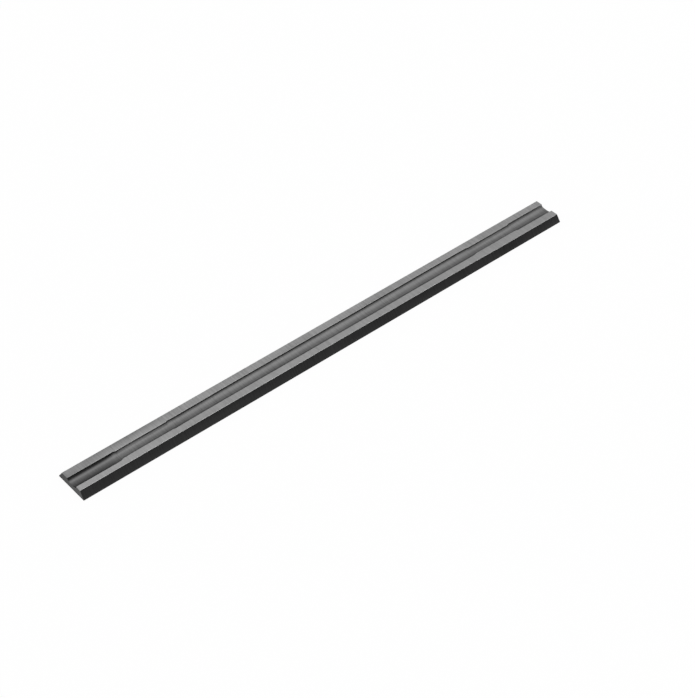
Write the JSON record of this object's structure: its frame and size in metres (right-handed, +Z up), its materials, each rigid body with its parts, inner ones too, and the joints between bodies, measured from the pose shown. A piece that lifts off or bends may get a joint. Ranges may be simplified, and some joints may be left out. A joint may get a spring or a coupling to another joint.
{
  "type": "planer knife",
  "caption": "Reversible carbide planer knife: a slim strip with two bevelled cutting edges and a locating groove along its back.",
  "frame": {"origin": "middle of the rake face, which is the wide flat face that the knife lies on", "axes": "+X along the cutting edges, +Y across them, +Z up from the rake face to the grooved back"},
  "size_m": [0.082, 0.0054, 0.0011],
  "materials": {
    "ground_carbide": "finely ground across its width on the flat faces, darker and smoother on the bevels, satin in the groove"
  },
  "bodies": {
    "root": {"knife": "ground_carbide"}
  },
  "joints": []
}
